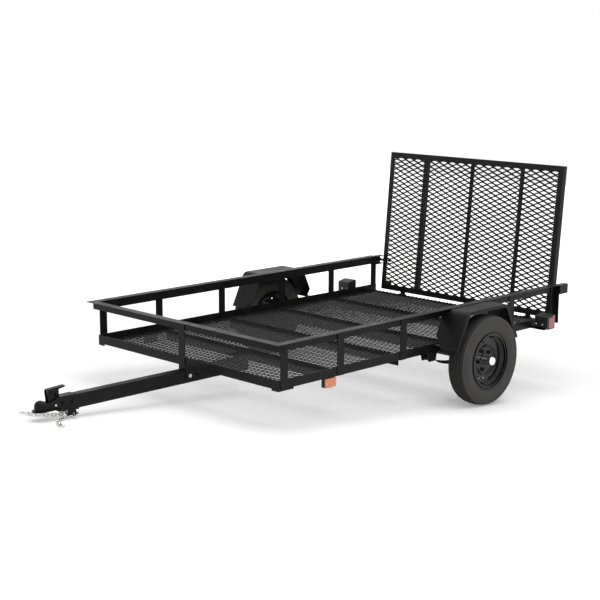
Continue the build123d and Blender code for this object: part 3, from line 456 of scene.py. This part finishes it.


# %% [markdown]
# Each tyre takes the size of its node. Four grooves run round the tread, which is painted darker
# than the sidewalls as painted shade, fine rings stand on the sidewalls, and a valve comes through
# the wheel's disc.

# %% Tyres and valves
tread_segments = 128
groove_half = 2.5 * MM
groove_foot_half = 5 * MM / 3
groove_depth = 7 * MM
groove_shares = (0.62, 0.21, -0.21, -0.62)
tread_half_share = 0.82
crown_drop = 9 * MM
bead_share = 0.763
sidewall_steps = 18
ring_height = 1.2 * MM
ring_edge_share = 0.01
ring_shares = ((0.10, 0.16), (0.70, 0.73), (0.80, 0.83))
bead_clearance = 0.6 * MM


def tyre_profile(half, outer, bore, bead):
    """A tyre's closed outline, from its outer bead over the tread to its inner bead."""
    tread_half = half * tread_half_share
    shoulder = outer - crown_drop

    def wall_point(share):
        """A point on the outer sidewall, from the bead at 0 to the shoulder at 1."""
        edge = half * bead_share if share < 0.5 else tread_half
        bulge = half - (half - edge) * (2 * share - 1) ** 2
        raised = any(low <= share <= high for low, high in ring_shares)
        return bulge + (ring_height if raised else 0), bead + (shoulder - bead) * share

    def tread_radius(out):
        """The crown of the tread, lower towards its edges."""
        return outer - crown_drop * (out / tread_half) ** 2

    wall_shares = [step / sidewall_steps for step in range(sidewall_steps)]
    for low, high in ring_shares:
        wall_shares += [low - ring_edge_share, low, high, high + ring_edge_share]
    wall = [wall_point(share) for share in sorted(wall_shares)]
    tread = [(tread_half, shoulder)]
    for share in groove_shares:
        middle = share * tread_half
        top = tread_radius(middle)
        foot = top - groove_depth
        tread += [(middle + groove_half, top), (middle + groove_foot_half, foot),
                  (middle - groove_foot_half, foot), (middle - groove_half, top)]
    tread.append((-tread_half, shoulder))
    inner_wall = [(-out, radius) for out, radius in reversed(wall)]
    seat = half * bead_share
    return wall + tread + inner_wall + [(-seat, bore), (seat, bore)]


valve_level_x = 56.7 * MM
valve_level_z = 174.8 * MM
valve_foot_out = 16 * MM
valve_segments = 16
valve_profile = [(0, 0), (0, 5 * MM), (3 * MM, 5 * MM), (5 * MM, 3.6 * MM), (18 * MM, 3.2 * MM),
                 (19 * MM, 4 * MM), (29 * MM, 4 * MM), (30 * MM, 3 * MM), (30 * MM, 0)]
for name, side in sides.items():
    node = f"tyre_{name}"
    low, high = box_in(parked, node)
    middle = Vector((axle_centre.x, (low.y + high.y) / 2, wheel_centre.z))
    radii = [math.hypot(vertex.co.x - middle.x, vertex.co.z - middle.z)
             for vertex in nodes[node].data.vertices]
    wheel_low, wheel_high = box_in(parked, f"wheel_{name}")
    lip_radius = (wheel_high.z - wheel_low.z) / 2
    half_width = (high.y - low.y) / 2
    profile = tyre_profile(half_width, tyre_radius, min(radii), lip_radius + bead_clearance)
    shape = bmesh.new()
    turn_profile(shape, profile, middle, side * AXIS_Y, tread_segments, closed=True)
    body = f"wheel_{name}_body"
    tyre = finish_piece(f"grooved_tyre_{name}", shape, sidewall_rubber, body)
    # The tread's faces take the darker rubber, which paints shade onto the tread.
    tyre.data.materials.append(tread_rubber_painted_shade)
    groove_floor = tyre_radius - crown_drop - groove_depth
    for face in tyre.data.polygons:
        out = face.center - middle
        in_tread = abs(out.y) < tread_half_share * half_width
        if in_tread and math.hypot(out.x, out.z) > groove_floor:
            face.material_index = 1
    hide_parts(node)

    shape = bmesh.new()
    valve_foot = parked @ Vector((valve_level_x, 0, valve_level_z))
    valve_foot.y = middle.y + side * valve_foot_out
    turn_profile(shape, valve_profile, valve_foot, side * AXIS_Y, valve_segments)
    finish_piece(f"valve_{name}", shape, bright_zinc, body)

# %% [markdown]
# Bolts, nuts and screws. A nut is a chamfered hexagon on a round washer, with its bolt's rounded
# end standing out of it. A screw is a low domed head on a flange.

# %% Fasteners
washer_segments, bolt_segments, screw_segments = 24, 16, 20
nut_sides = 6
washer_share = 0.12
nut_height_share = 0.62
washer_rim_share = 1.35
chamfer_share = 0.86
bolt_radius_share = 0.5
bolt_tip_radius_share = 0.38
bolt_height_share = 1.3
bolt_tip_share = 1.42
# Shares of a screw's radius: how far out along its axis, and how far from the axis
screw_shares = ((0, 0), (0, 1), (0.2, 1), (0.3, 0.8), (0.65, 0.55), (0.7, 0.3), (0.5, 0.2),
                (0.5, 0))


def add_nut(shape, place, axis, across):
    """A washer, a chamfered hexagon nut and a bolt's end, standing out from a face."""
    washer = across * washer_share
    height = across * nut_height_share
    half = across / 2
    rim = half * washer_rim_share
    bolt = half * bolt_radius_share
    tip = height * bolt_tip_share
    washer_profile = [(0, 0), (0, rim), (washer, rim), (washer, 0)]
    nut_profile = [(washer, 0), (washer, half), (height * chamfer_share, half),
                   (height, half * chamfer_share), (height, 0)]
    bolt_profile = [(washer, 0), (washer, bolt), (height * bolt_height_share, bolt),
                    (tip, half * bolt_tip_radius_share), (tip, 0)]
    turn_profile(shape, washer_profile, place, axis, washer_segments)
    turn_profile(shape, nut_profile, place, axis, nut_sides)
    turn_profile(shape, bolt_profile, place, axis, bolt_segments)


def add_screw(shape, place, axis, radius):
    """A domed screw head on a thin flange, with a small recess in its crown."""
    profile = [(radius * along, radius * out) for along, out in screw_shares]
    turn_profile(shape, profile, place, axis, screw_segments)


along_x = (pitched @ AXIS_X.to_4d()).to_3d()
upward = (pitched @ AXIS_Z.to_4d()).to_3d()

lamp_screw_shares = (0.12, 0.61)
lamp_screw_height = 30 * MM
lamp_screw_radius = 5 * MM
marker_screw_shares = (0.06, 0.94)
marker_screw_radius = 3 * MM
screws = bmesh.new()
for side in sides.values():
    low, high = box_in(parked, "tail_lamp_housings", side=side)
    inner = min(abs(low.y), abs(high.y))
    width = high.y - low.y
    for share in lamp_screw_shares:
        place = parked @ Vector((high.x, side * (inner + share * width), low.z + lamp_screw_height))
        add_screw(screws, place, along_x, lamp_screw_radius)
    low, high = box_in(parked, "marker_lenses", side=side)
    outer = max(abs(low.y), abs(high.y))
    for share in marker_screw_shares:
        along = low.x + share * (high.x - low.x)
        place = parked @ Vector((along, side * outer, (low.z + high.z) / 2))
        add_screw(screws, place, side * AXIS_Y, marker_screw_radius)
pivot_ahead = 27 * MM
pivot_rise = 271 * MM
pivot_radius = 6.5 * MM
tongue_high = box_in(parked, "tongue_tube")[1]
channel_half = 29.7 * MM
for side in sides.values():
    place = parked @ Vector((tongue_high.x + pivot_ahead, side * channel_half, pivot_rise))
    add_screw(screws, place, side * AXIS_Y, pivot_radius)
finish_piece("bright_screws", screws, bright_zinc, "chassis")

clamp_rod_x = 27 * MM
clamp_rod_y = 27.4 * MM
clamp_plate_rise = 9.6 * MM
clamp_nut_across = 16 * MM
eye_nut_across = 19 * MM
eye_radius = 14 * MM
cheek_outer = 27.6 * MM
nuts = bmesh.new()
for side in sides.values():
    low, high = box_in(parked, "axle_clamps", side=side)
    middle = (low.y + high.y) / 2
    for rod_x in (-clamp_rod_x, clamp_rod_x):
        for rod_y in (-clamp_rod_y, clamp_rod_y):
            place = parked @ Vector((rod_x, middle + rod_y, low.z + clamp_plate_rise))
            add_nut(nuts, place, -upward, clamp_nut_across)
    low, high = box_in(parked, "leaf_springs", side=side)
    middle = (low.y + high.y) / 2
    for x in (low.x + eye_radius, high.x - eye_radius):
        for facing in (1, -1):
            place = parked @ Vector((x, middle + facing * cheek_outer, high.z - eye_radius))
            add_nut(nuts, place, facing * AXIS_Y, eye_nut_across)
finish_piece("spring_and_clamp_nuts", nuts, spring_steel, "chassis")

# %% [markdown]
# Weld beads run down both edges of each post where it laps the lower rail, and along that rail's
# upper edge behind it. A bead is a ripple of small waves, half sunk in the corner of two pieces.

# %% Weld beads
ripple_share = 1.6
waist_share = 0.72
bead_segments = 10


def add_bead(shape, start, end, radius):
    """A rippled bead from one point to another, with rounded ends."""
    run = end - start
    ripples = max(2, round(run.length / (ripple_share * radius)))
    profile = [(0, 0)]
    for ripple in range(ripples):
        profile.append(((ripple + 0.5) / ripples * run.length, radius))
        if ripple < ripples - 1:
            profile.append(((ripple + 1) / ripples * run.length, radius * waist_share))
    profile.append((run.length, 0))
    turn_profile(shape, profile, start, run, bead_segments)


post_width = 50.8 * MM
bead_radius = 2.6 * MM
bead_inset = 5 * MM
bead_top_inset = 3 * MM
beads = bmesh.new()
bead_count = 0
for name, side in sides.items():
    rail_low, rail_high = box_in(parked, f"lower_rail_{name}")
    post_vertices = nodes[f"posts_{name}"].data.vertices
    edges = sorted({round((parked.inverted() @ vertex.co).x, 3) for vertex in post_vertices})
    backs = [edge for edge in edges if any(abs(edge + post_width - other) < MM for other in edges)]
    face = side * max(abs(rail_low.y), abs(rail_high.y))
    for back in backs:
        for x in (back, back + post_width):
            start = parked @ Vector((x, face, rail_low.z + bead_inset))
            end = parked @ Vector((x, face, rail_high.z - bead_top_inset))
            add_bead(beads, start, end, bead_radius)
            bead_count += 1
        start = parked @ Vector((back + bead_inset, face, rail_high.z))
        end = parked @ Vector((back + post_width - bead_inset, face, rail_high.z))
        add_bead(beads, start, end, bead_radius)
        bead_count += 1
finish_piece("post_weld_beads", beads, black_enamel, "chassis", crease_degrees=60)
print(bead_count, "beads")

# %% [markdown]
# The floor is one pale sheet. What the camera and reflections see of it is lifted towards white,
# and far away it fades into the white backdrop. Near the trailer it keeps the shadow.
# A wide lamp overhead gives the soft shadow, and a small one from the front left gives the glints.

# %% Floor, world and lamps
def seen_directly(tree):
    """1 for the camera, for reflections and for what is seen through a lens, 0 for other rays."""
    path = tree.nodes.new("ShaderNodeLightPath").outputs
    either = math_node(tree, "MAXIMUM", path["Is Camera Ray"], path["Is Glossy Ray"])
    return math_node(tree, "MAXIMUM", either, path["Is Transmission Ray"])


white = (1, 1, 1, 1)
floor_colour = (0.86, 0.86, 0.86, 1)
floor_roughness = 0.9


def pale_floor_material(near_lift, far_lift, fade_from, fade_to):
    """A pale floor that shows brighter to the camera, and white in the distance."""
    material = bpy.data.materials.new("pale_floor")
    material.use_nodes = True
    tree = material.node_tree
    shader = tree.nodes["Principled BSDF"]
    shader.inputs["Base Color"].default_value = floor_colour
    shader.inputs["Roughness"].default_value = floor_roughness
    shader.inputs["Specular IOR Level"].default_value = 0.0
    shader.inputs["Emission Color"].default_value = white
    distance = tree.nodes.new("ShaderNodeVectorMath")
    distance.operation = "LENGTH"
    place = tree.nodes.new("ShaderNodeTexCoord").outputs["Object"]
    tree.links.new(place, distance.inputs[0])
    fade = tree.nodes.new("ShaderNodeMapRange")
    fade.interpolation_type = "SMOOTHSTEP"
    for label, value in (("From Min", fade_from), ("From Max", fade_to),
                         ("To Min", near_lift), ("To Max", far_lift)):
        fade.inputs[label].default_value = value
    tree.links.new(distance.outputs["Value"], fade.inputs["Value"])
    lift = math_node(tree, "MULTIPLY", fade.outputs["Result"], seen_directly(tree))
    tree.links.new(lift, shader.inputs["Emission Strength"])
    return material


def lamp(name, place, target, size, power):
    """A soft square lamp that faces a target."""
    data = bpy.data.lights.new(name, "AREA")
    data.size = size
    data.energy = power
    made = bpy.data.objects.new(name, data)
    bpy.context.collection.objects.link(made)
    made.location = place
    made.rotation_euler = (Vector(target) - Vector(place)).to_track_quat("-Z", "Y").to_euler()


floor_half = 30
floor_drop = MM
floor_mesh = bpy.data.meshes.new("floor")
floor_corners = [(-floor_half, -floor_half, 0), (floor_half, -floor_half, 0),
                 (floor_half, floor_half, 0), (-floor_half, floor_half, 0)]
floor_mesh.from_pydata(floor_corners, [], [(0, 1, 2, 3)])
floor = bpy.data.objects.new("floor", floor_mesh)
bpy.context.collection.objects.link(floor)
floor.location.z = -floor_drop
floor.data.materials.append(pale_floor_material(near_lift=0.28, far_lift=1.0, fade_from=2.2,
                                                fade_to=5.5))

lamp("overhead", place=(-0.5, 0.3, 5.5), target=(0, 0, 0), size=6.0, power=230)
lamp("key", place=(3.2, 4.6, 3.6), target=(-0.4, 0.4, 0.4), size=1.4, power=45)
world = bpy.data.worlds.new("studio")
bpy.context.scene.world = world
world.use_nodes = True
background = world.node_tree.nodes["Background"]
background.inputs["Color"].default_value = white
ambient_level = 0.42
direct_lift = math_node(world.node_tree, "MULTIPLY_ADD", seen_directly(world.node_tree),
                        1 - ambient_level, ambient_level)
world.node_tree.links.new(direct_lift, background.inputs["Strength"])
bpy.context.scene.view_settings.view_transform = "Standard"
